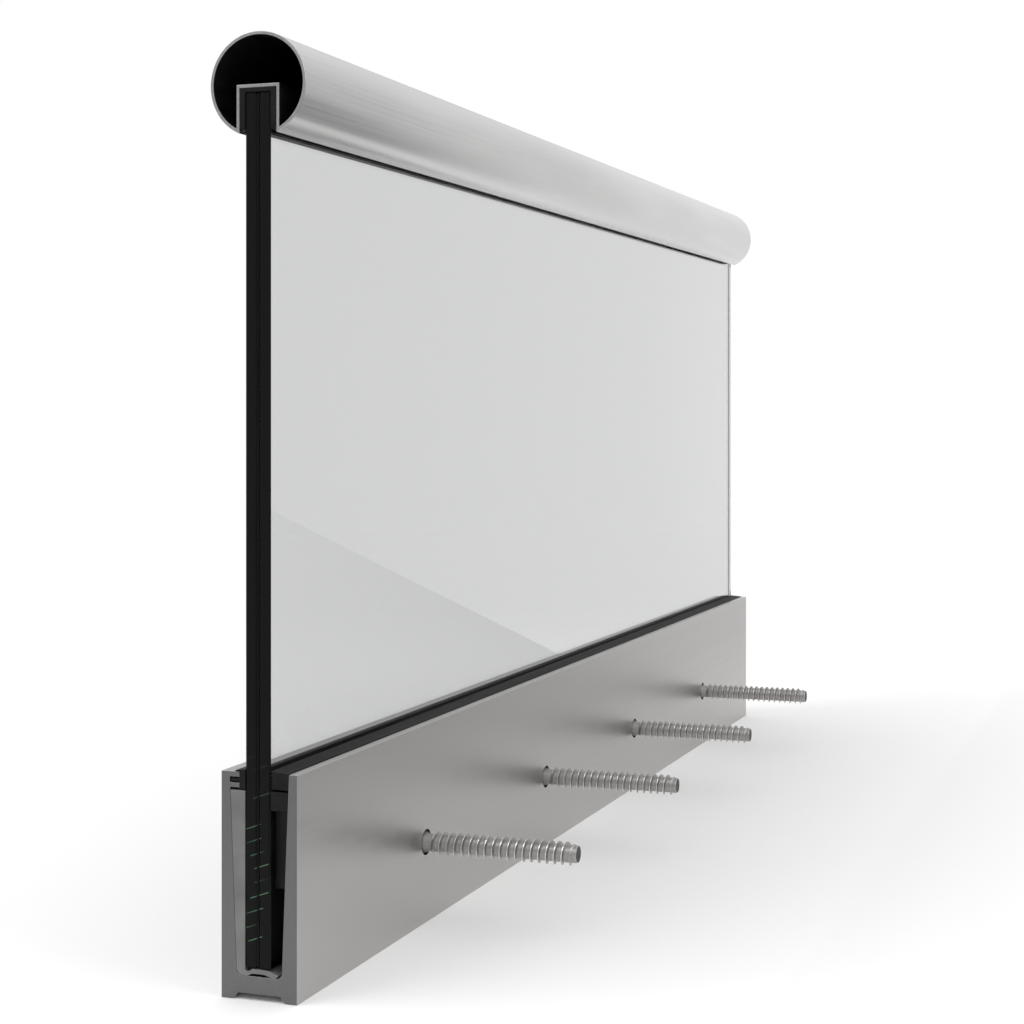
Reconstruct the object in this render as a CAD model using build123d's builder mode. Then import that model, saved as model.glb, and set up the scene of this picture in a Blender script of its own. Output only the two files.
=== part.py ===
"""A run of glass balustrade: a laminated pane stands in a tall aluminium base channel, between moulded
supports and wedges, under two rubber gaskets, and carries a slotted handrail tube on its top edge.

X runs along the balustrade, Y goes through its thickness and Z is up. The origin lies under the middle
of the channel, at the level of its feet. Sizes are in millimetres.
"""

import os
from math import atan, degrees, sqrt

from build123d import *

# The run
run_length = 890.0
fit_gap = 0.1  # between a moulded piece and the metal or glass that it is pressed against
height_tolerance = 0.01  # within which a corner counts as lying at a height

# Laminated glass: two sheets with an interlayer, all edges arrised
glass_height = 400.0
sheet_thickness = 6.0
interlayer_thickness = 0.76
glass_arris = 0.8

# Base channel, an extrusion with tapered walls
channel_width = 38.4
channel_height = 104.0
wall_top = 4.2
wall_bottom = 7.8
floor_thickness = 8.0
relief_depth = 3.0
foot_width = 6.0
relief_flank = 2.5
corner_radius = 3.0
edge_radius = 0.4

# Gasket groove between the two lips of the back wall
lip_reach = 5.0
upper_lip = 2.5
groove_height = 2.6
lower_lip = 2.2

# Hook gasket, pressed into the groove from the glass side
pad_thickness = 3.0
pad_overlap = 0.6  # of the pad below the lower lip
nib_thickness = 1.0
nib_reach = 2.1
stem_length = 4.4
neck_height = 1.6
barb_height = 2.3
barb_length = 1.5

# Toothed gasket, driven in between the glass and the front wall
toothed_height = 8.2
toothed_rise = 1.0  # above the channel, at the glass
toothed_fall = 0.7  # of its top, from the glass to the wall
tooth_count = 5
tooth_depth = 1.1

# Glass supports, L-shaped mouldings behind and under the pane
support_count = 5
support_width = 113.0
support_headroom = 1.2  # under the lower lip
heel_relief = 0.4  # of the heel's radius over the channel's corner radius
sole_thickness = 2.2
sole_flat = 1.6
inside_radius = 1.0
crest_rise = 1.2
crest_width = 5.0
crest_flank = 3.2
tip_slant = 1.4
tip_fall = 0.35  # slope of the sole as it runs out at its tip
panel_side = 12.0
panel_top = 13.0
panel_bottom = 24.0
panel_depth = 0.5

# Wedges, T-shaped mouldings in front of the pane, slotted on the wall side
wedge_height = 45.0
wedge_headroom = 1.0  # under the toothed gasket
wedge_web = 2.2
head_height = 8.6
shoulder = 5.0
slot_count = 7
slot_pitch = 8.2
slot_width = 3.8
slot_rim = 5.0
top_band = 1.5
notch_height = 3.8
cross_rib = 2.4
short_slot_height = 6.0
bottom_band = 1.8

# Screws, through the front wall and out into the edge of the floor slab
screw_count = 4
screw_length = 95.0
screw_height = 42.0
screw_head_diameter = 22.0
screw_rim = 1.0
screw_cone = 11.5
screw_stand_off = 4.4  # of the head's face from the wall's inner face
shank_diameter = 12.0
point_diameter = 9.0
point_length = 3.0
socket_width = 8.0
socket_depth = 4.0
hole_diameter = 12.4
hole_run_out = 1.0  # of the drill past the outer face of the wall

# Handrail: a round tube with a slot folded in, and the rubber that seats it on the glass
tube_diameter = 48.3
tube_wall = 1.5
rubber_leg = 3.0
rubber_top = 2.0
rubber_inset = 0.8  # of the rubber's feet from the mouth of the slot

# Places that follow from the sizes above
near_end = -run_length / 2
half_width = channel_width / 2
floor_top = relief_depth + floor_thickness
lip_face = half_width - wall_top - lip_reach
groove_top = channel_height - upper_lip
groove_bottom = groove_top - groove_height
lips_bottom = groove_bottom - lower_lip
glass_thickness = 2 * sheet_thickness + interlayer_thickness
glass_back = lip_face - pad_thickness
glass_middle = glass_back - glass_thickness / 2
glass_front = glass_back - glass_thickness
glass_bottom = floor_top + crest_rise + sole_thickness
glass_top = glass_bottom + glass_height
toothed_top = channel_height + toothed_rise
toothed_bottom = toothed_top - toothed_height
support_pitch = (run_length - support_width) / (support_count - 1)
section_plane = Plane.YZ.offset(near_end)

os.makedirs("parts", exist_ok=True)


def wall_at(height):
    """Thickness of the channel's walls, which taper evenly from the floor to the top."""
    share = (channel_height - height) / (channel_height - floor_top)
    return wall_top + (wall_bottom - wall_top) * share


def back_face(height):
    """Y of the back wall's inner face."""
    return half_width - wall_at(height)


def front_face(height):
    """Y of the front wall's inner face."""
    return wall_at(height) - half_width


def corners_at(section, height):
    """Corners of a cross-section that lie at one height."""
    return section.vertices().filter_by_position(
        Axis.Y, height - height_tolerance, height + height_tolerance
    )


# Base channel. The screws' seats are cones that open towards the glass.
screw_places = [(i - (screw_count - 1) / 2) * support_pitch for i in range(screw_count)]
screw_face = front_face(screw_height) + screw_stand_off
seat_start = screw_face - screw_rim
seat_angle = 2 * degrees(atan((screw_head_diameter - shank_diameter) / 2 / screw_cone))
seats = [
    Location(Plane(origin=(place, seat_start, screw_height), z_dir=(0, 1, 0)))
    for place in screw_places
]

with BuildPart() as base_channel:
    with BuildSketch(section_plane) as channel_section:
        with BuildLine():
            Polyline(
                (-half_width, 0),
                (-half_width + foot_width, 0),
                (-half_width + foot_width + relief_flank, relief_depth),
                (half_width - foot_width - relief_flank, relief_depth),
                (half_width - foot_width, 0),
                (half_width, 0),
                (half_width, channel_height),
                (lip_face, channel_height),
                (lip_face, groove_top),
                (back_face(groove_top), groove_top),
                (back_face(groove_bottom), groove_bottom),
                (lip_face, groove_bottom),
                (lip_face, lips_bottom),
                (back_face(lips_bottom), lips_bottom),
                (back_face(floor_top), floor_top),
                (front_face(floor_top), floor_top),
                (front_face(channel_height), channel_height),
                (-half_width, channel_height),
                close=True,
            )
        make_face()
        fillet(corners_at(channel_section, floor_top), corner_radius)
        fillet(corners_at(channel_section, channel_height), edge_radius)
    extrude(amount=run_length)
    with Locations(*seats):
        CounterSinkHole(
            radius=hole_diameter / 2,
            counter_sink_radius=screw_head_diameter / 2,
            depth=half_width + seat_start + hole_run_out,
            counter_sink_angle=seat_angle,
        )
base_channel.part.label = "base_channel"
export_step(base_channel.part, "parts/base_channel.step")

# Laminated glass. The arrises of the two sheets leave a small V along the interlayer.
glass_sheets = {
    "glass_sheet_back": glass_back - sheet_thickness / 2,
    "glass_sheet_front": glass_front + sheet_thickness / 2,
}
for sheet_name, sheet_middle in glass_sheets.items():
    with BuildPart() as glass_sheet:
        with BuildSketch(section_plane):
            with Locations((sheet_middle, glass_bottom)):
                Rectangle(sheet_thickness, glass_height, align=(Align.CENTER, Align.MIN))
        extrude(amount=run_length)
        chamfer(glass_sheet.edges(), glass_arris)
    glass_sheet.part.label = sheet_name
    export_step(glass_sheet.part, f"parts/{sheet_name}.step")

with BuildPart() as glass_interlayer:
    with BuildSketch(section_plane.offset(glass_arris)):
        with Locations((glass_middle, glass_bottom + glass_arris)):
            Rectangle(
                interlayer_thickness,
                glass_height - 2 * glass_arris,
                align=(Align.CENTER, Align.MIN),
            )
    extrude(amount=run_length - 2 * glass_arris)
glass_interlayer.part.label = "glass_interlayer"
export_step(glass_interlayer.part, "parts/glass_interlayer.step")

# Hook gasket: a pad against the glass, a barbed stem in the groove and a nib over the upper lip
pad_top = channel_height + nib_thickness
pad_bottom = lips_bottom - pad_overlap
stem_middle = (groove_top + groove_bottom) / 2
stem_end = lip_face + stem_length
barb_start = stem_end - barb_length

with BuildPart() as hook_gasket:
    with BuildSketch(section_plane):
        with BuildLine():
            Polyline(
                (glass_back, pad_bottom),
                (lip_face, pad_bottom),
                (lip_face, stem_middle - neck_height / 2),
                (barb_start, stem_middle - neck_height / 2),
                (barb_start, stem_middle - barb_height / 2),
                (stem_end, stem_middle - neck_height / 2),
                (stem_end, stem_middle + neck_height / 2),
                (barb_start, stem_middle + barb_height / 2),
                (barb_start, stem_middle + neck_height / 2),
                (lip_face, stem_middle + neck_height / 2),
                (lip_face, channel_height),
                (lip_face + nib_reach, channel_height),
                (lip_face + nib_reach, channel_height + nib_thickness / 2),
                (lip_face, pad_top),
                (glass_back, pad_top),
                close=True,
            )
        make_face()
    extrude(amount=run_length)
hook_gasket.part.label = "hook_gasket"
export_step(hook_gasket.part, "parts/hook_gasket.step")

# Toothed gasket: saw teeth bite on the glass, and the other side leans with the wall
tooth_pitch = toothed_height / tooth_count
tooth_points = []
for i in range(tooth_count):
    tooth_start = toothed_bottom + i * tooth_pitch
    tooth_points.append((glass_front - tooth_depth, tooth_start))
    tooth_points.append((glass_front, tooth_start + tooth_pitch))
wall_side_top = toothed_top - toothed_fall

with BuildPart() as toothed_gasket:
    with BuildSketch(section_plane):
        with BuildLine():
            Polyline(
                *tooth_points,
                (front_face(channel_height), wall_side_top),
                (front_face(channel_height), channel_height),
                (front_face(toothed_bottom), toothed_bottom),
                close=True,
            )
        make_face()
    extrude(amount=run_length)
toothed_gasket.part.label = "toothed_gasket"
export_step(toothed_gasket.part, "parts/toothed_gasket.step")

# Glass supports: the back leans with the wall, and the sole waves up into a crest under the pane
support_top = lips_bottom - support_headroom
support_back_top = back_face(support_top) - fit_gap
support_back_bottom = back_face(floor_top) - fit_gap
support_front = glass_back + fit_gap
sole_top = floor_top + sole_thickness
crest_back = glass_middle + crest_width / 2
crest_front = glass_middle - crest_width / 2
crest_base = floor_top + crest_rise
tip_end = front_face(floor_top) + corner_radius

for i in range(support_count):
    support_name = f"glass_support_{i + 1}"
    support_start = i * support_pitch
    with BuildPart() as glass_support:
        with BuildSketch(section_plane.offset(support_start)) as support_section:
            with BuildLine():
                Polyline(
                    (crest_back + crest_flank, floor_top),
                    (support_back_bottom, floor_top),
                    (support_back_top, support_top),
                    (support_front, support_top),
                    (support_front, sole_top),
                    (support_front - sole_flat, sole_top),
                )
                Spline(
                    (support_front - sole_flat, sole_top),
                    (crest_back, glass_bottom),
                    tangents=((-1, 0), (-1, 0)),
                )
                Line((crest_back, glass_bottom), (crest_front, glass_bottom))
                Spline(
                    (crest_front, glass_bottom),
                    (tip_end - tip_slant, floor_top + tip_slant),
                    tangents=((-1, 0), (-1, -tip_fall)),
                )
                Polyline(
                    (tip_end - tip_slant, floor_top + tip_slant),
                    (tip_end, floor_top),
                    (tip_end + tip_slant, floor_top),
                )
                Spline(
                    (tip_end + tip_slant, floor_top),
                    (crest_front, crest_base),
                    tangents=((1, 0), (1, 0)),
                )
                Line((crest_front, crest_base), (crest_back, crest_base))
                Spline(
                    (crest_back, crest_base),
                    (crest_back + crest_flank, floor_top),
                    tangents=((1, 0), (1, 0)),
                )
            make_face()
            heel = corners_at(support_section, floor_top).sort_by(Axis.X)[-1]
            fillet(heel, corner_radius + heel_relief)
            inside_corner = corners_at(support_section, sole_top).sort_by(Axis.X)[-1]
            fillet(inside_corner, inside_radius)
        extrude(amount=support_width)
        panel_height = support_top - sole_top - panel_top - panel_bottom
        panel_middle = near_end + support_start + support_width / 2
        with BuildSketch(Plane.XZ.offset(-support_front)):
            with Locations((panel_middle, support_top - panel_top)):
                Rectangle(
                    support_width - 2 * panel_side,
                    panel_height,
                    align=(Align.CENTER, Align.MAX),
                )
        extrude(amount=-panel_depth, mode=Mode.SUBTRACT)
    glass_support.part.label = support_name
    export_step(glass_support.part, f"parts/{support_name}.step")

# Wedges: flat against the glass, leaning with the wall, with blind slots from the wall side
wedge_top = toothed_bottom - wedge_headroom
wedge_bottom = wedge_top - wedge_height
head_bottom = wedge_top - head_height
body_width = (slot_count - 1) * slot_pitch + slot_width + 2 * slot_rim
head_width = body_width + 2 * shoulder
wedge_back = glass_front - fit_gap
slot_floor = wedge_back - wedge_web
short_slot_bottom = wedge_bottom + bottom_band
long_slot_bottom = short_slot_bottom + short_slot_height + cross_rib
slot_top = wedge_top - top_band
notch_bottom = slot_top - notch_height
wedge_pitch = (run_length - head_width) / (support_count - 1)

for i in range(support_count):
    wedge_name = f"wedge_{i + 1}"
    wedge_start = i * wedge_pitch
    wedge_middle = near_end + wedge_start + head_width / 2
    with BuildPart() as wedge:
        with BuildSketch(section_plane.offset(wedge_start)):
            with BuildLine():
                Polyline(
                    (wedge_back, head_bottom),
                    (wedge_back, wedge_top),
                    (front_face(wedge_top) + fit_gap, wedge_top),
                    (front_face(head_bottom) + fit_gap, head_bottom),
                    close=True,
                )
            make_face()
        extrude(amount=head_width)
        with BuildSketch(section_plane.offset(wedge_start + shoulder)):
            with BuildLine():
                Polyline(
                    (wedge_back, wedge_bottom),
                    (wedge_back, head_bottom),
                    (front_face(head_bottom) + fit_gap, head_bottom),
                    (front_face(wedge_bottom) + fit_gap, wedge_bottom),
                    close=True,
                )
            make_face()
        extrude(amount=body_width)
        with BuildSketch(Plane.XZ.offset(-slot_floor)):
            for slot in range(slot_count):
                slot_middle = wedge_middle + (slot - (slot_count - 1) / 2) * slot_pitch
                outer_slot = slot in (0, slot_count - 1)
                this_slot_top = head_bottom if outer_slot else slot_top
                with Locations((slot_middle, long_slot_bottom)):
                    Rectangle(
                        slot_width,
                        this_slot_top - long_slot_bottom,
                        align=(Align.CENTER, Align.MIN),
                    )
                with Locations((slot_middle, short_slot_bottom)):
                    Rectangle(slot_width, short_slot_height, align=(Align.CENTER, Align.MIN))
            for side in (-1, 1):
                for step in (slot_count - 1, slot_count + 1):
                    with Locations((wedge_middle + side * step / 2 * slot_pitch, notch_bottom)):
                        Rectangle(slot_width, notch_height, align=(Align.CENTER, Align.MIN))
        extrude(amount=channel_width, mode=Mode.SUBTRACT)
    wedge.part.label = wedge_name
    export_step(wedge.part, f"parts/{wedge_name}.step")

# Screws: countersunk heads with a hexagon socket, one group of separate solids
with BuildPart() as anchor_screws:
    for place in screw_places:
        with BuildSketch(Plane(origin=(place, screw_face, screw_height))):
            with BuildLine():
                Polyline(
                    (0, 0),
                    (screw_head_diameter / 2, 0),
                    (screw_head_diameter / 2, -screw_rim),
                    (shank_diameter / 2, -screw_rim - screw_cone),
                    (shank_diameter / 2, point_length - screw_length),
                    (point_diameter / 2, -screw_length),
                    (0, -screw_length),
                    close=True,
                )
            make_face()
        revolve(axis=Axis((place, screw_face, screw_height), (0, 1, 0)))
    socket_plane = Plane.XZ.offset(-screw_face)
    with BuildSketch(socket_plane):
        with Locations(*[(place, screw_height) for place in screw_places]):
            RegularPolygon(socket_width / 2, 6, major_radius=False)
    extrude(amount=socket_depth, mode=Mode.SUBTRACT)
anchor_screws.part.label = "anchor_screws"
export_step(anchor_screws.part, "parts/anchor_screws.step")

# Handrail tube: its wall turns in at the mouth and runs up to a flat roof at the tube's middle
tube_radius = tube_diameter / 2
slot_inner = glass_thickness + 2 * rubber_leg
slot_outer = slot_inner + 2 * tube_wall
tube_middle = glass_top + rubber_top + tube_wall
mouth_drop = sqrt(tube_radius**2 - (slot_outer / 2) ** 2)

with BuildPart() as handrail_tube:
    with BuildSketch(section_plane):
        with Locations((glass_middle, tube_middle)):
            Circle(tube_radius)
            Circle(tube_radius - tube_wall, mode=Mode.SUBTRACT)
            Rectangle(slot_outer, mouth_drop, align=(Align.CENTER, Align.MAX))
        with Locations((glass_middle, tube_middle - tube_wall)):
            Rectangle(slot_inner, tube_diameter, align=(Align.CENTER, Align.MAX), mode=Mode.SUBTRACT)
    extrude(amount=run_length)
handrail_tube.part.label = "handrail_tube"
export_step(handrail_tube.part, "parts/handrail_tube.step")

# Rail rubber: an upside-down U over the top edge of the pane
rubber_bottom = tube_middle - mouth_drop + rubber_inset

with BuildPart() as rail_rubber:
    with BuildSketch(section_plane):
        with Locations((glass_middle, glass_top + rubber_top)):
            Rectangle(
                slot_inner,
                glass_top + rubber_top - rubber_bottom,
                align=(Align.CENTER, Align.MAX),
            )
        with Locations((glass_middle, glass_top)):
            Rectangle(
                glass_thickness,
                glass_height,
                align=(Align.CENTER, Align.MAX),
                mode=Mode.SUBTRACT,
            )
    extrude(amount=run_length)
rail_rubber.part.label = "rail_rubber"
export_step(rail_rubber.part, "parts/rail_rubber.step")
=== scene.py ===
"""Looks of the glass balustrade run.

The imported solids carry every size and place. This script gives the laminated pane, the threaded
screws and the eased edges their real form, and each surface its finish.

X runs along the balustrade, Y goes through its thickness and Z is up. Sizes are in metres.
"""

from math import pi, radians

import bpy
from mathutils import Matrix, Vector


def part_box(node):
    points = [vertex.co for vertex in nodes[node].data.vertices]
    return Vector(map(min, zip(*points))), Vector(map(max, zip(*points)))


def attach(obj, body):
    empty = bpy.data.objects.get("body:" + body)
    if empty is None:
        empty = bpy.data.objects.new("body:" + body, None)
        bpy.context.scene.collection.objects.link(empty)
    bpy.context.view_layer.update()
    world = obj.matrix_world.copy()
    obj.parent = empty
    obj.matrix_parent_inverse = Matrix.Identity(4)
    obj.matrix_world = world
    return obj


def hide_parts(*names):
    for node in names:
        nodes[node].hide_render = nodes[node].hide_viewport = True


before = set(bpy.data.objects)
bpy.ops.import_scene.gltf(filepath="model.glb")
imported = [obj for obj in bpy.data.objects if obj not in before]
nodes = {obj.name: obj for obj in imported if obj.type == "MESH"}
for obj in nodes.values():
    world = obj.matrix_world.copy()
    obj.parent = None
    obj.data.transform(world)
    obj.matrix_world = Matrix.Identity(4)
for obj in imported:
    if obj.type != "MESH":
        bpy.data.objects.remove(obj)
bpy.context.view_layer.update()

mm = 0.001

# Pane, from its two sheets and the film between them
sheet_low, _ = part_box("glass_sheet_front")
_, sheet_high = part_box("glass_sheet_back")
pane_middle = (sheet_low + sheet_high) / 2
pane_size = sheet_high - sheet_low
film_low, film_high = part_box("glass_interlayer")
film_thickness = film_high.y - film_low.y
sheet_thickness = (pane_size.y - film_thickness) / 2
arris = film_low.z - sheet_low.z
near_end = sheet_low.x
far_end = sheet_high.x
run = pane_size.x

# Painted glints on the pane's near end
glint_tilt = radians(20)
glint_sway = 42 * mm  # height in which they swing across the end and back
glint_swing = 0.45 * sheet_thickness  # to either side
glint_reach = 0.6 * sheet_thickness  # half their length, where they start to fade
glint_tip = 0.72 * sheet_thickness  # half their length, where they end
glint_full_height = 50 * mm  # above the foot of the pane
glint_last_height = 100 * mm

# Screws, from their group of solids
screws_low, screws_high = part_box("anchor_screws")
screw_face = screws_high.y
screw_height = (screws_low.z + screws_high.z) / 2
screw_head_radius = (screws_high.z - screws_low.z) / 2
screw_length = screws_high.y - screws_low.y
screw_count = 4
screw_spread = (screws_high.x - screws_low.x) - 2 * screw_head_radius
screw_pitch = screw_spread / (screw_count - 1)

# Screw details that the plain solids leave out
thread_pitch = 4.2 * mm
thread_radius = 6.0 * mm
core_radius = 4.5 * mm
thread_root_depth = 0.3 * mm  # by which the rib starts inside the core
thread_root_width = 1.8 * mm
thread_crest_width = 0.45 * mm
thread_turns = 19
thread_start = 14.0 * mm  # from the face of the head
thread_run_out = 0.6  # turns, over which the rib rises at each end
thread_least_height = 0.03  # share of the rib's height that its two ends keep
head_rim = 1.0 * mm
head_cone = 11.5 * mm
head_ring = 0.6 * mm  # round the face of the head, clear of the socket
point_radius = 4.1 * mm
point_length = 0.6 * mm
socket_radius = 4.6 * mm
socket_depth = 4.0 * mm

# Handrail tube and the rubber in its slot
tube_low, tube_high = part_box("handrail_tube")
tube_radius = (tube_high.y - tube_low.y) / 2
tube_middle = Vector((0, (tube_low.y + tube_high.y) / 2, tube_high.z - tube_radius))
tube_wall = 1.5 * mm
_, rubber_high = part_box("rail_rubber")
slot_half_width = rubber_high.y - tube_middle.y
slot_roof = rubber_high.z

# How far sharp edges are eased
channel_edge = 0.25 * mm
tube_edge = 0.2 * mm
gasket_edge = 0.12 * mm
rail_rubber_edge = 0.25 * mm
support_edge = 0.25 * mm
wedge_edge = 0.2 * mm
screw_edge = 0.25 * mm

# Limits for merging and choosing parts of a mesh
sharp_angle = radians(32)  # between two faces, past which their edge is a sharp one
flat_angle = radians(0.5)  # between two faces, under which they are one flat face
same_point = 0.002 * mm
leeway = 0.1 * mm
end_leeway = 0.05 * mm  # takes in the first strip of an eased edge
facing = 0.9  # share of a face's normal along an axis, past which it looks that way

# Sides of the round pieces
tube_sides = 144
screw_sides = 48
thread_steps = 40  # in one turn


# Handling of pieces


def only(piece):
    """Makes one piece the selected and active object."""
    bpy.ops.object.select_all(action="DESELECT")
    piece.select_set(True)
    bpy.context.view_layer.objects.active = piece


def just_made(name):
    """The piece that an operator has just made, under its name."""
    piece = bpy.context.object
    piece.name = name
    return piece


def add_to_scene(thing):
    bpy.context.scene.collection.objects.link(thing)


def copy_of(piece, name):
    """A copy of a piece, with its own mesh."""
    copy = piece.copy()
    copy.data = piece.data.copy()
    copy.name = name
    add_to_scene(copy)
    return copy


def settle(piece):
    """Moves a piece's place, turn and scale into its mesh."""
    only(piece)
    bpy.ops.object.transform_apply(location=True, rotation=True, scale=True)


def start_edit(piece):
    """Opens a piece in edit mode, with all of it selected."""
    only(piece)
    bpy.ops.object.mode_set(mode="EDIT")
    bpy.ops.mesh.select_all(action="SELECT")


def finish_edit():
    bpy.ops.object.mode_set(mode="OBJECT")


def select_where(piece, kind, wanted):
    """Selects the faces or the points, as the kind says, for which wanted is true."""
    start_edit(piece)
    bpy.ops.mesh.select_mode(type=kind)
    bpy.ops.mesh.select_all(action="DESELECT")
    finish_edit()
    parts = piece.data.polygons if kind == "FACE" else piece.data.vertices
    for part in parts:
        part.select = wanted(part)
    bpy.ops.object.mode_set(mode="EDIT")


def select_faces(piece, wanted):
    """Selects the faces for which wanted(face) is true, and no others. Ends in edit mode."""
    select_where(piece, "FACE", wanted)


def select_points(piece, wanted):
    """Selects the points for which wanted(point) is true, and no others. Ends in edit mode."""
    select_where(piece, "VERT", lambda vertex: wanted(vertex.co))


def score(direction, distances):
    """Cuts new edges across the piece in edit mode, at distances along a direction."""
    for distance in distances:
        bpy.ops.mesh.select_all(action="SELECT")
        bpy.ops.mesh.bisect(plane_co=distance * direction, plane_no=direction)


def apply_all(piece):
    """Applies every modifier of a piece, from the top."""
    only(piece)
    for modifier in list(piece.modifiers):
        bpy.ops.object.modifier_apply(modifier=modifier.name)


def cut_out(piece, cutter):
    """Cuts one piece's shape out of another, and removes the cutter."""
    knife = piece.modifiers.new("cut", "BOOLEAN")
    knife.operation = "DIFFERENCE"
    knife.object = cutter
    apply_all(piece)
    bpy.data.objects.remove(cutter)


def smooth(piece):
    """Smooth shading, but for the sharp edges."""
    only(piece)
    bpy.ops.object.shade_smooth_by_angle(angle=sharp_angle)


def ease_edges(piece, width, segments=2):
    """Rounds the sharp edges of a piece and keeps its flat faces flat to the light."""
    smooth(piece)
    bevel = piece.modifiers.new("eased_edges", "BEVEL")
    bevel.width = width
    bevel.segments = segments
    bevel.limit_method = "ANGLE"
    bevel.angle_limit = sharp_angle
    bevel.miter_outer = "MITER_ARC"
    even_light = piece.modifiers.new("even_light", "WEIGHTED_NORMAL")
    even_light.weight = 100  # the large faces have all the say
    apply_all(piece)


def eased_copy(node_name, edge_width, segments=2):
    """A copy of a CAD node with its sharp edges rounded, as the real piece's are."""
    piece = copy_of(nodes[node_name], node_name + "_finished")
    piece.parent = None
    # The copy doesn't keep the marks of a CAD node
    for key in list(piece.keys()):
        del piece[key]
    start_edit(piece)
    bpy.ops.mesh.remove_doubles(threshold=same_point)
    bpy.ops.mesh.dissolve_limited(angle_limit=flat_angle)
    finish_edit()
    ease_edges(piece, edge_width, segments)
    return piece


def paint(piece, material):
    """Gives a piece one material all over."""
    piece.data.materials.clear()
    piece.data.materials.append(material)


def paint_faces(piece, material, wanted):
    """Gives one more material to the faces for which wanted(face) is true."""
    piece.data.materials.append(material)
    last_slot = len(piece.data.materials) - 1
    for face in piece.data.polygons:
        if wanted(face):
            face.material_index = last_slot


def place(piece, slot, *replaced):
    """Lets a piece ride with the run, instead of the CAD nodes it stands for."""
    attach(piece, "root")
    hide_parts(*replaced)


# Nodes of the materials and of the world

# A colour Mix node's sockets go by number, because its number sockets have the same names
first_colour = 6
second_colour = 7
mixed_colour = 2


def set_inputs(node, values):
    for name, value in values.items():
        node.inputs[name].default_value = value


def add_node(owner, kind, inputs=None, **settings):
    """Adds a node to a material or the world, and sets its properties and its inputs by name."""
    node = owner.node_tree.nodes.new(kind)
    for name, value in settings.items():
        setattr(node, name, value)
    set_inputs(node, inputs or {})
    return node


def join(owner, source, target):
    owner.node_tree.links.new(source, target)


def calculate(owner, operation, *values):
    """The result of a Math node on one or two values, each a number or a socket."""
    math_node = add_node(owner, "ShaderNodeMath", operation=operation)
    for socket, value in zip(math_node.inputs, values):
        if isinstance(value, (int, float)):
            socket.default_value = value
        else:
            join(owner, value, socket)
    return math_node.outputs["Value"]


def spread(owner, value, low, high, start=0.3, end=0.7):
    """A value that goes from start to end, spread from low to high."""
    limits = {"From Min": start, "From Max": end, "To Min": low, "To Max": high}
    ranged = add_node(owner, "ShaderNodeMapRange", limits)
    join(owner, value, ranged.inputs["Value"])
    return ranged.outputs["Result"]


def split_axes(owner, coordinates):
    """The X, Y and Z of some coordinates."""
    separate = add_node(owner, "ShaderNodeSeparateXYZ")
    join(owner, coordinates, separate.inputs["Vector"])
    return separate.outputs


def straight_rays(owner, paths):
    """1 for the camera's own rays and for those that went through the glass, and 0 for others."""
    through_glass = paths.outputs["Is Transmission Ray"]
    return calculate(owner, "MAXIMUM", paths.outputs["Is Camera Ray"], through_glass)


def object_coordinates(material):
    return add_node(material, "ShaderNodeTexCoord").outputs["Object"]


def mapped_coordinates(material, changes):
    """Object coordinates, moved, turned or stretched."""
    mapping = add_node(material, "ShaderNodeMapping", changes)
    join(material, object_coordinates(material), mapping.inputs["Vector"])
    return mapping.outputs["Vector"]


def noise(material, grains, detail=3.0):
    """Noise on Object coordinates, with so many grains per metre along X, Y and Z."""
    settings = {"Scale": 1.0, "Detail": detail, "Roughness": 0.55}
    texture = add_node(material, "ShaderNodeTexNoise", settings)
    join(material, mapped_coordinates(material, {"Scale": grains}), texture.inputs["Vector"])
    return texture.outputs["Fac"]


def mix_shaders(material, share, first, second):
    """The first shader where share is 0, the second where it is 1."""
    mix = add_node(material, "ShaderNodeMixShader")
    join(material, share, mix.inputs["Fac"])
    join(material, first, mix.inputs[1])
    join(material, second, mix.inputs[2])
    return mix.outputs["Shader"]


def new_material(name, colour, roughness, metallic=0.0, specular=0.5):
    """A material with one look all over, until patterns are joined to it."""
    material = bpy.data.materials.new(name)
    material.use_nodes = True
    look = {
        "Base Color": (*colour, 1),
        "Roughness": roughness,
        "Metallic": metallic,
        "Specular IOR Level": specular,
    }
    set_inputs(shader_of(material), look)
    return material


def shader_of(material):
    return material.node_tree.nodes["Principled BSDF"]


def output_of(material):
    return material.node_tree.nodes["Material Output"]


def set_colour(material, share, first, second):
    """Mixes the colour: the first where share is 0, the second where it is 1."""
    mix = add_node(material, "ShaderNodeMix", data_type="RGBA")
    mix.inputs[first_colour].default_value = (*first, 1)
    mix.inputs[second_colour].default_value = (*second, 1)
    join(material, share, mix.inputs["Factor"])
    join(material, mix.outputs[mixed_colour], shader_of(material).inputs["Base Color"])


def set_patterned_colour(material, pattern, first, second):
    """Lets a pattern take the colour from the first to the second."""
    set_colour(material, spread(material, pattern, 0, 1), first, second)


def set_roughness(material, pattern, low, high):
    """Lets a pattern take the roughness from low to high."""
    join(material, spread(material, pattern, low, high), shader_of(material).inputs["Roughness"])


def set_bump(material, pattern, strength, depth):
    """Lets a pattern raise and lower the surface."""
    bump = add_node(material, "ShaderNodeBump", {"Strength": strength, "Distance": depth})
    join(material, pattern, bump.inputs["Height"])
    join(material, bump.outputs["Normal"], shader_of(material).inputs["Normal"])


# Materials


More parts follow.
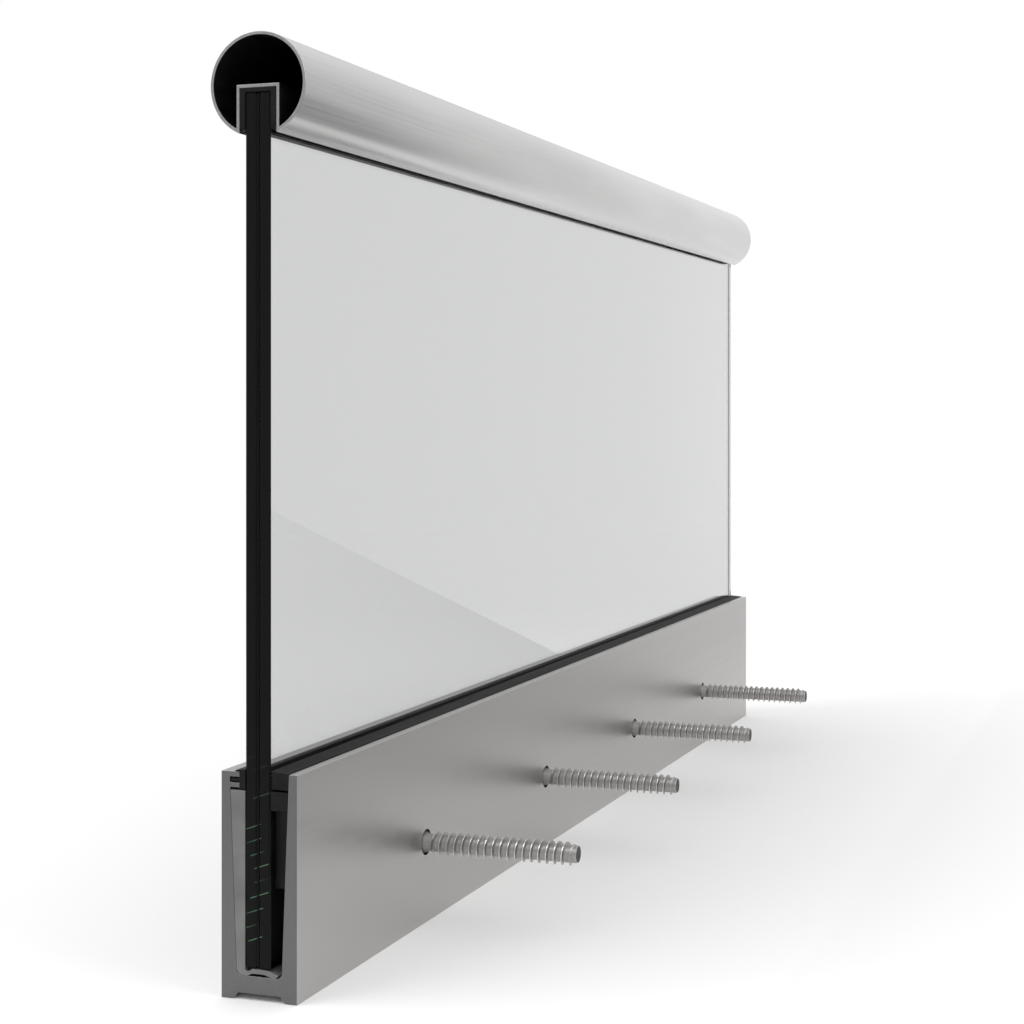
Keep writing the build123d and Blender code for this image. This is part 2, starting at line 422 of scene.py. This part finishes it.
def make_satin_aluminium():
    """Anodised extrusion: fine die lines along the run and a slow drift in tone."""
    material = new_material("satin_aluminium", (0.46, 0.46, 0.465), 0.36, metallic=1.0)
    die_lines = noise(material, (0.2, 900, 900))
    drift = noise(material, (2, 9, 9), detail=2.0)
    line_tone = spread(material, die_lines, -0.08, 0.08)
    drift_tone = spread(material, drift, 0.38, 0.62)
    tone = calculate(material, "ADD", line_tone, drift_tone)
    set_colour(material, tone, (0.4, 0.388, 0.382), (0.56, 0.547, 0.54))
    set_roughness(material, die_lines, 0.3, 0.42)
    set_bump(material, die_lines, 0.12, 0.05 * mm)
    return material


def make_sawn_aluminium():
    """Cut end of the extrusion: dull, with the arcs of the saw blade, and darker as painted shade.
    """
    material = new_material("sawn_aluminium", (0.24, 0.24, 0.245), 0.5, metallic=1.0)
    saw_arcs = add_node(
        material,
        "ShaderNodeTexWave",
        {"Scale": 520.0, "Distortion": 1.2, "Detail": 2.0, "Detail Scale": 0.6},
        wave_type="RINGS",
        rings_direction="X",
    )
    # The middle of the blade lies in front of the channel and below it
    from_blade = mapped_coordinates(material, {"Location": (0.0, 0.18, 0.06)})
    join(material, from_blade, saw_arcs.inputs["Vector"])
    grain = noise(material, (400, 700, 700))
    scratches = calculate(material, "MULTIPLY", saw_arcs.outputs["Fac"], grain)
    tone = spread(material, scratches, 0, 1, start=0.1, end=0.6)
    set_colour(material, tone, (0.14, 0.14, 0.142), (0.24, 0.24, 0.242))
    set_roughness(material, grain, 0.42, 0.6)
    set_bump(material, scratches, 0.25, 0.05 * mm)
    return material


def make_brushed_stainless():
    """Polished tube, brushed along its length."""
    material = new_material("brushed_stainless", (0.58, 0.58, 0.576), 0.22, metallic=1.0)
    brushing = noise(material, (5, 1100, 1100))
    patches = noise(material, (6, 40, 40), detail=2.0)
    brushed_tone = spread(material, brushing, 0.2, 0.6)
    patchy_tone = spread(material, patches, 0.0, 0.4)
    tone = calculate(material, "ADD", brushed_tone, patchy_tone)
    set_colour(material, tone, (0.5, 0.5, 0.497), (0.66, 0.66, 0.656))
    set_roughness(material, brushing, 0.17, 0.27)
    set_bump(material, brushing, 0.04, 0.04 * mm)
    return material


def make_cut_stainless():
    """Cut end of the tube: the same steel, duller than its polished side."""
    material = new_material("cut_stainless", (0.38, 0.378, 0.374), 0.34, metallic=1.0)
    grain = noise(material, (500, 900, 900))
    set_patterned_colour(material, grain, (0.34, 0.338, 0.334), (0.43, 0.428, 0.424))
    set_roughness(material, grain, 0.28, 0.4)
    set_bump(material, grain, 0.08, 0.04 * mm)
    return material


def make_tube_bore():
    """Unpolished inside of the tube, painted near black as the shade in the bore, with a faint
    mottle.
    """
    material = new_material("tube_bore", (0.006, 0.006, 0.006), 0.6, specular=0.1)
    bore_shade_mottle = noise(material, (30, 160, 160))
    set_patterned_colour(material, bore_shade_mottle, (0.003, 0.003, 0.003), (0.01, 0.01, 0.01))
    set_roughness(material, bore_shade_mottle, 0.5, 0.7)
    return material


def make_clear_glass():
    """Clear laminated glass, whose slight grey builds up through its thickness."""
    material = new_material("clear_glass", (1, 1, 1), 0.0)
    set_inputs(shader_of(material), {"Transmission Weight": 1.0, "IOR": 1.5})
    tint = {"Color": (0.33, 0.35, 0.34, 1), "Density": 40.0}
    absorption = add_node(material, "ShaderNodeVolumeAbsorption", tint)
    join(material, absorption.outputs["Volume"], output_of(material).inputs["Volume"])
    return material


def make_glass_edge():
    """Polished end of the pane: the light is lost in the glass, so it is painted black as shade,
    with painted green glints.
    """
    painted_dark = (0.0075, 0.0078, 0.0076)
    glint_green = (0.1, 0.19, 0.11)
    material = new_material("glass_edge", painted_dark, 0.08, specular=0.06)
    bands = add_node(
        material,
        "ShaderNodeTexWave",
        {"Scale": 52.0, "Distortion": 0.0},
        wave_type="BANDS",
        bands_direction="Z",
    )
    tilted = mapped_coordinates(material, {"Rotation": (glint_tilt, 0, 0)})
    join(material, tilted, bands.inputs["Vector"])
    thin_lines = spread(material, bands.outputs["Fac"], 0, 1, start=0.985, end=0.998)

    # Each painted glint line is lit only near a middle that swings from one sheet to the other
    axes = split_axes(material, object_coordinates(material))
    height = calculate(material, "SUBTRACT", axes["Z"], sheet_low.z)
    across = calculate(material, "SUBTRACT", axes["Y"], pane_middle.y)
    turn = calculate(material, "MULTIPLY", height, 2 * pi / glint_sway)
    swing = calculate(material, "COSINE", turn)
    lit_middle = calculate(material, "MULTIPLY", swing, -glint_swing)
    aside = calculate(material, "ABSOLUTE", calculate(material, "SUBTRACT", across, lit_middle))
    short = spread(material, aside, 1, 0, glint_reach, glint_tip)

    low_down = spread(material, height, 1, 0, glint_full_height, glint_last_height)
    flicker = noise(material, (0.1, 0.1, 75), detail=0.0)
    uneven = spread(material, flicker, 0, 1, start=0.42, end=0.54)
    share = calculate(material, "MULTIPLY", thin_lines, short)
    share = calculate(material, "MULTIPLY", share, low_down)
    share = calculate(material, "MULTIPLY", share, uneven)
    set_colour(material, share, painted_dark, glint_green)
    return material


def make_film_edge():
    """Edge of the interlayer, a thin dull line between the two sheets."""
    material = new_material("interlayer_film", (0.005, 0.006, 0.0055), 0.5, specular=0.08)
    cloud = noise(material, (60, 200, 60))
    set_patterned_colour(material, cloud, (0.004, 0.005, 0.0045), (0.008, 0.009, 0.0085))
    return material


def make_black_rubber():
    """Extruded rubber: near black, with faint lines along the run and a dusty bloom."""
    material = new_material("black_rubber", (0.006, 0.006, 0.006), 0.6, specular=0.16)
    lines = noise(material, (3, 1500, 1500))
    bloom = noise(material, (40, 90, 90), detail=4.0)
    set_patterned_colour(material, bloom, (0.004, 0.004, 0.004), (0.01, 0.01, 0.01))
    set_roughness(material, lines, 0.52, 0.68)
    set_bump(material, lines, 0.15, 0.05 * mm)
    return material


def make_black_wedge_plastic():
    """Glass-filled black moulding with a spark-eroded texture."""
    material = new_material("black_wedge_plastic", (0.007, 0.007, 0.007), 0.45, specular=0.15)
    grain = noise(material, (1800, 1800, 1800), detail=2.0)
    flow = noise(material, (120, 60, 60))
    set_patterned_colour(material, flow, (0.005, 0.005, 0.005), (0.01, 0.01, 0.01))
    set_roughness(material, grain, 0.36, 0.52)
    set_bump(material, grain, 0.2, 0.05 * mm)
    return material


def make_grey_support_plastic():
    """Mid-grey moulding with a fine texture and faint flow marks."""
    material = new_material("grey_support_plastic", (0.15, 0.149, 0.147), 0.45)
    grain = noise(material, (1600, 1600, 1600), detail=2.0)
    flow = noise(material, (25, 40, 60))
    set_patterned_colour(material, flow, (0.125, 0.124, 0.123), (0.175, 0.174, 0.172))
    set_roughness(material, grain, 0.38, 0.55)
    set_bump(material, grain, 0.2, 0.05 * mm)
    return material


def make_screw_steel():
    """Steel under a thin dull coating: warm grey, with fine rubbed patches."""
    material = new_material("screw_steel", (0.38, 0.366, 0.36), 0.42, metallic=0.85)
    rub = noise(material, (120, 120, 120), detail=2.0)
    fine = noise(material, (900, 900, 900))
    set_patterned_colour(material, rub, (0.34, 0.327, 0.321), (0.42, 0.405, 0.398))
    set_roughness(material, fine, 0.36, 0.48)
    set_bump(material, fine, 0.04, 0.04 * mm)
    return material


def make_bright_steel():
    """Bare bright steel: the screw's head and the rubbed crests of its thread."""
    material = new_material("bright_steel", (0.82, 0.8, 0.79), 0.24, metallic=1.0)
    rub = noise(material, (220, 220, 220))
    set_patterned_colour(material, rub, (0.76, 0.745, 0.74), (0.88, 0.865, 0.86))
    set_roughness(material, rub, 0.3, 0.2)
    return material


def make_cut_steel():
    """Sheared tip of the screw, with a coarse grain; its dark colour is painted shade."""
    material = new_material("cut_steel", (0.07, 0.067, 0.065), 0.5, metallic=1.0)
    grain = noise(material, (700, 700, 700))
    set_patterned_colour(material, grain, (0.05, 0.048, 0.047), (0.1, 0.096, 0.093))
    set_bump(material, grain, 0.2, 0.05 * mm)
    return material


satin_aluminium = make_satin_aluminium()
sawn_aluminium = make_sawn_aluminium()
brushed_stainless = make_brushed_stainless()
cut_stainless = make_cut_stainless()
tube_bore = make_tube_bore()
clear_glass = make_clear_glass()
glass_edge = make_glass_edge()
film_edge = make_film_edge()
black_rubber = make_black_rubber()
black_wedge_plastic = make_black_wedge_plastic()
grey_support_plastic = make_grey_support_plastic()
screw_steel = make_screw_steel()
bright_steel = make_bright_steel()
cut_steel = make_cut_steel()


# Pieces


def is_end_face(face):
    """Whether a face lies in one of the two ends of the run."""
    from_end = min(face.center.x - near_end, far_end - face.center.x)
    return abs(face.normal.x) > facing and from_end < end_leeway


def make_channel():
    """The aluminium channel, with sawn ends."""
    channel = eased_copy("base_channel", channel_edge)
    paint(channel, satin_aluminium)
    # The ends get a darker colour as painted shade
    paint_faces(channel, sawn_aluminium, is_end_face)
    place(channel, "satin_aluminium", "base_channel")


def add_round(name, radius, length):
    """A round bar along the run, on the middle line of the handrail."""
    bpy.ops.mesh.primitive_cylinder_add(
        vertices=tube_sides,
        radius=radius,
        depth=length,
        location=tube_middle,
        rotation=(0, pi / 2, 0),
    )
    bar = just_made(name)
    settle(bar)
    return bar


def add_slot_block(name, half_width, roof, spare):
    """A block along the run that fills the handrail's slot from below, with some to spare."""
    low = Vector((near_end - spare, tube_middle.y - half_width, tube_middle.z - tube_radius - spare))
    high = Vector((far_end + spare, tube_middle.y + half_width, roof))
    bpy.ops.mesh.primitive_cube_add(size=1, location=(low + high) / 2)
    block = just_made(name)
    block.scale = high - low
    settle(block)
    return block


def make_handrail():
    """The tube: bored out round the folded-in slot, then slotted from below."""
    spare = 10 * mm
    handrail = add_round("handrail", tube_radius, run)
    bore = add_round("bore", tube_radius - tube_wall, run + spare)
    cut_out(bore, add_slot_block("fold", slot_half_width + tube_wall, slot_roof + tube_wall, spare))
    cut_out(handrail, bore)
    cut_out(handrail, add_slot_block("slot", slot_half_width, slot_roof, spare))
    ease_edges(handrail, tube_edge)

    def is_in_bore(face):
        """Whether a face is on the hidden side of the wall, or of the folded-in slot."""
        out = face.center - tube_middle
        on_end = abs(face.normal.x) > 0.5  # its eased edges too
        on_outside = out.yz.length > tube_radius - 0.6 * tube_wall
        below_roof = face.center.z < slot_roof + tube_wall / 2
        in_slot = below_roof and abs(out.y) < slot_half_width + tube_edge
        return not (on_end or on_outside or in_slot)

    paint(handrail, brushed_stainless)
    # The hidden inside of the tube gets painted shade
    paint_faces(handrail, tube_bore, is_in_bore)
    paint_faces(handrail, cut_stainless, is_end_face)
    place(handrail, "brushed_stainless", "handrail_tube")


def make_rubbers():
    """The two gaskets, and the rubber in the handrail's slot."""
    for node_name, edge_width in (
        ("hook_gasket", gasket_edge),
        ("toothed_gasket", gasket_edge),
        ("rail_rubber", rail_rubber_edge),
    ):
        rubber = eased_copy(node_name, edge_width, segments=1)
        paint(rubber, black_rubber)
        place(rubber, "black_rubber", node_name)


def numbered(name_start):
    """The CAD nodes of one kind of repeated piece, in order."""
    return sorted(name for name in nodes if name.startswith(name_start))


def make_supports():
    """The grey mouldings behind and under the pane."""
    for node_name in numbered("glass_support"):
        support = eased_copy(node_name, support_edge)
        paint(support, grey_support_plastic)
        place(support, "grey_support_plastic", node_name)


def make_wedges():
    """The black mouldings in front of the pane."""
    for node_name in numbered("wedge"):
        wedge = eased_copy(node_name, wedge_edge)
        paint(wedge, black_wedge_plastic)
        place(wedge, "black_wedge_plastic", node_name)


def make_pane():
    """The laminated pane as one body of glass, with an arris on every edge and a V at the film."""
    bpy.ops.mesh.primitive_cube_add(size=1, location=pane_middle)
    pane = just_made("laminated_pane")
    pane.scale = pane_size
    settle(pane)
    half_film = film_thickness / 2
    half_groove = half_film + arris
    start_edit(pane)
    bpy.ops.mesh.bevel(offset=arris, segments=1, affect="EDGES")
    offsets = (-half_groove, -half_film, half_film, half_groove)
    score(Vector((0, 1, 0)), [pane_middle.y + offset for offset in offsets])
    finish_edit()
    select_points(pane, lambda point: abs(point.y - pane_middle.y) < half_film + leeway)
    bpy.ops.transform.resize(
        value=(1 - 2 * arris / pane_size.x, 1, 1 - 2 * arris / pane_size.z),
        center_override=pane_middle,
    )
    finish_edit()

    def reads_dark(face):
        """The near end, and the back sheet's end at the far end, as the picture shows them."""
        end_depth = 0.75 * arris  # the middles of an end's arrises lie half an arris deep
        at_near_end = face.center.x < near_end + end_depth
        at_far_end = face.center.x > far_end - end_depth
        in_back_sheet = face.center.y > pane_middle.y + half_film
        return at_near_end or (at_far_end and in_back_sheet)

    paint(pane, clear_glass)
    # The black of these ends is painted shade, for the light lost along the glass
    paint_faces(pane, glass_edge, reads_dark)
    place(pane, "clear_glass", "glass_sheet_front", "glass_sheet_back")


def make_film_line():
    """The interlayer where it shows: a thin frame in the V between the sheets."""
    clearance = 0.03 * mm
    depth = 0.3 * mm
    outer = film_high - film_low
    bpy.ops.mesh.primitive_plane_add(size=1, location=pane_middle, rotation=(pi / 2, 0, 0))
    film = just_made("interlayer_line")
    film.scale = (outer.x + 2 * (clearance + depth), outer.z + 2 * (clearance + depth), 1)
    settle(film)
    start_edit(film)
    bpy.ops.mesh.inset(thickness=depth)
    bpy.ops.mesh.delete(type="ONLY_FACE")
    finish_edit()
    thick = film.modifiers.new("film_thickness", "SOLIDIFY")
    thick.thickness = film_thickness - 2 * clearance
    thick.offset = 0
    apply_all(film)
    paint(film, film_edge)
    place(film, "interlayer_film", "glass_interlayer")


def make_screw_body():
    """The screw without its thread, along Z and head up: cone, core, tip and hexagon socket."""
    bpy.ops.mesh.primitive_cylinder_add(
        vertices=screw_sides,
        radius=core_radius,
        depth=screw_length,
        location=(0, 0, -screw_length / 2),
    )
    screw = just_made("screw_body")
    settle(screw)
    start_edit(screw)
    score(Vector((0, 0, 1)), (-head_rim, -head_rim - head_cone, -screw_length + point_length))
    finish_edit()

    def turn_to(radius, wanted):
        """Brings the wanted points of the bar out or in to a radius."""
        select_points(screw, wanted)
        factor = radius / core_radius
        bpy.ops.transform.resize(value=(factor, factor, 1), center_override=(0, 0, 0))
        finish_edit()

    turn_to(screw_head_radius, lambda point: point.z > -head_rim - leeway)
    turn_to(point_radius, lambda point: point.z < -screw_length + leeway)
    select_faces(screw, lambda face: face.normal.z > facing)
    bpy.ops.mesh.inset(thickness=head_ring)
    finish_edit()
    bpy.ops.mesh.primitive_cylinder_add(
        vertices=6, radius=socket_radius, depth=2 * socket_depth, location=(0, 0, 0)
    )
    cut_out(screw, just_made("socket"))
    ease_edges(screw, screw_edge)
    return screw


def make_thread():
    """The rolled thread: a four-sided rib that winds down the core and runs out at both ends."""
    root_radius = core_radius - thread_root_depth
    corners = (
        (thread_radius, 0, -thread_crest_width / 2),
        (thread_radius, 0, thread_crest_width / 2),
        (root_radius, 0, thread_root_width / 2),
        (root_radius, 0, -thread_root_width / 2),
    )
    bpy.ops.mesh.primitive_circle_add(vertices=len(corners), radius=1, location=(0, 0, 0))
    rib = just_made("screw_thread")
    for vertex, corner in zip(rib.data.vertices, corners):
        vertex.co = corner
    winding = rib.modifiers.new("winding", "SCREW")
    winding.axis = "Z"
    winding.angle = 2 * pi
    winding.screw_offset = -thread_pitch
    winding.iterations = thread_turns
    winding.steps = thread_steps
    winding.render_steps = thread_steps
    apply_all(rib)
    start_edit(rib)
    bpy.ops.mesh.fill_holes(sides=len(corners))
    bpy.ops.mesh.normals_make_consistent(inside=False)
    finish_edit()
    for vertex in rib.data.vertices:
        turns_in = -vertex.co.z / thread_pitch
        from_end = min(turns_in, thread_turns - turns_in)
        rise = min(1, max(thread_least_height, from_end / thread_run_out))
        radius = vertex.co.xy.length
        drawn_in = (root_radius + (radius - root_radius) * rise) / radius
        vertex.co.x *= drawn_in
        vertex.co.y *= drawn_in
        vertex.co.z -= thread_start
    return rib


def make_screw():
    """One anchor screw, along Y and with the face of its head at the origin."""
    body = make_screw_body()
    paint(body, screw_steel)
    # The tip's dark colour is painted shade
    paint_faces(body, cut_steel, lambda face: face.normal.z < -facing)
    paint_faces(body, bright_steel, lambda face: face.center.z > -head_rim)
    thread = make_thread()
    paint(thread, screw_steel)
    paint_faces(thread, bright_steel, lambda face: face.center.xy.length > thread_radius - leeway)
    smooth(thread)
    only(body)
    thread.select_set(True)
    bpy.ops.object.join()
    screw = just_made("anchor_screw")
    screw.rotation_euler = (-pi / 2, 0, 0)
    settle(screw)
    return screw


def make_screws():
    """The row of anchor screws through the front wall."""
    screw = make_screw()
    first_x = screws_low.x + screw_head_radius
    for i in range(screw_count):
        copy = copy_of(screw, f"anchor_screw_{i + 1}")
        copy.location = (first_x + i * screw_pitch, screw_face, screw_height)
        settle(copy)
        place(copy, "screw_steel", "anchor_screws")
    bpy.data.objects.remove(screw)


make_channel()
make_handrail()
make_rubbers()
make_supports()
make_wedges()
make_pane()
make_film_line()
make_screws()


# Studio


def make_floor():
    """A pale floor that keeps the object's shadow.

    Further out, straight looks see it whiten and then give way to the background. Gloss sees the
    studio through it from where it starts to whiten.
    """
    floor_size = 12
    floor_drop = 0.05 * mm
    whitens_from = 0.5
    white_at = 1.4
    clear_at = 3
    bpy.ops.mesh.primitive_plane_add(size=floor_size, location=(0, 0, -floor_drop))
    floor = just_made("studio_floor")
    material = new_material("floor_pale", (0.95, 0.95, 0.95), 0.9)
    from_middle = add_node(material, "ShaderNodeVectorMath", operation="LENGTH")
    join(material, object_coordinates(material), from_middle.inputs[0])
    distance = from_middle.outputs["Value"]
    whitening = spread(material, distance, 0, 1, whitens_from, white_at)
    clearing = spread(material, distance, 0, 1, white_at, clear_at)

    paths = add_node(material, "ShaderNodeLightPath")
    straight = straight_rays(material, paths)
    # A ray through the glass counts as glossy too
    not_through_glass = calculate(material, "SUBTRACT", 1, paths.outputs["Is Transmission Ray"])
    mirrored = calculate(material, "MULTIPLY", not_through_glass, paths.outputs["Is Glossy Ray"])

    white = add_node(material, "ShaderNodeEmission").outputs["Emission"]
    clear = add_node(material, "ShaderNodeBsdfTransparent").outputs["BSDF"]
    share_white = calculate(material, "MULTIPLY", whitening, straight)
    clear_to_gloss = calculate(material, "MULTIPLY", whitening, mirrored)
    clear_to_looks = calculate(material, "MULTIPLY", clearing, straight)
    share_clear = calculate(material, "MAXIMUM", clear_to_gloss, clear_to_looks)
    whitened = mix_shaders(material, share_white, shader_of(material).outputs["BSDF"], white)
    opened = mix_shaders(material, share_clear, whitened, clear)
    join(material, opened, output_of(material).inputs["Surface"])
    paint(floor, material)


def make_card():
    """A grey card that only gloss sees, in front of the run.

    Its slanting side crosses the pane as the line where the tone changes.
    """
    front = -4
    back = -0.22
    left = -3
    front_right = 6.57
    back_right = 0.695
    lift = 0.5 * mm
    corners = ((left, front), (front_right, front), (left, back), (back_right, back))
    bpy.ops.mesh.primitive_plane_add(size=1, location=(0, 0, lift))
    card = just_made("grey_card")
    for vertex, corner in zip(card.data.vertices, corners):
        vertex.co.x, vertex.co.y = corner
    paint(card, new_material("card_grey", (0.3, 0.3, 0.3), 0.9))
    card.visible_camera = False
    card.visible_diffuse = False
    card.visible_transmission = False
    card.visible_shadow = False


def make_world():
    """White where it is looked at, and soft grey studio light for the rest."""
    dim = 0.6
    bright = 1.0
    brightest = 1.12
    world = bpy.data.worlds.new("studio")
    bpy.context.scene.world = world
    world.use_nodes = True
    coordinates = add_node(world, "ShaderNodeTexCoord")
    direction = split_axes(world, coordinates.outputs["Generated"])
    overhead = spread(world, direction["Z"], dim, bright, start=0.05, end=0.6)
    past_far_end = spread(world, direction["X"], dim, brightest, start=0.88, end=0.985)
    studio_light = calculate(world, "MAXIMUM", overhead, past_far_end)
    seen = straight_rays(world, add_node(world, "ShaderNodeLightPath"))
    light = calculate(world, "MAXIMUM", studio_light, seen)
    background = world.node_tree.nodes["Background"]
    background.inputs["Color"].default_value = (1, 1, 1, 1)
    join(world, light, background.inputs["Strength"])


def make_lamp(name, position, width, height, power):
    """A soft rectangular lamp that faces the run."""
    lit_point = Vector((0, 0, 0.2))
    data = bpy.data.lights.new(name, "AREA")
    data.shape = "RECTANGLE"
    data.size = width
    data.size_y = height
    data.energy = power
    lamp = bpy.data.objects.new(name, data)
    add_to_scene(lamp)
    lamp.location = position
    lamp.rotation_euler = (lit_point - Vector(position)).to_track_quat("-Z", "Y").to_euler()
    lamp.visible_camera = False


def make_camera():
    """The picture's view: level, from beyond the near end.

    It looks 24 degrees off the length of the run, less a turn that brings the assembled run to
    the middle of the picture.
    """
    view_angle = radians(24.2)
    turn_in = radians(4.3)
    focal_pixels = 1960
    picture_width = 1024
    sensor_width = 36
    near_corner = Vector((near_end, sheet_low.y, sheet_low.z))
    from_corner = Vector((-2.0, -1.016, 0.64))  # in heights of the pane
    data = bpy.data.cameras.new("photo_view")
    data.sensor_width = sensor_width
    data.lens = sensor_width * focal_pixels / picture_width
    data.shift_y = -0.102
    data.clip_start = 0.01
    camera = bpy.data.objects.new("photo_view", data)
    add_to_scene(camera)
    camera.location = near_corner + pane_size.z * from_corner
    camera.rotation_euler = (pi / 2, 0, view_angle - turn_in - pi / 2)
    bpy.context.scene.camera = camera


make_floor()
make_card()
make_world()
make_lamp("key", position=(-1.4, 1.2, 2.4), width=1.6, height=1.6, power=22)
make_lamp("fill", position=(-0.6, -2.4, 1.4), width=1.8, height=1.2, power=14)
make_camera()

bpy.context.scene.view_settings.view_transform = "Standard"
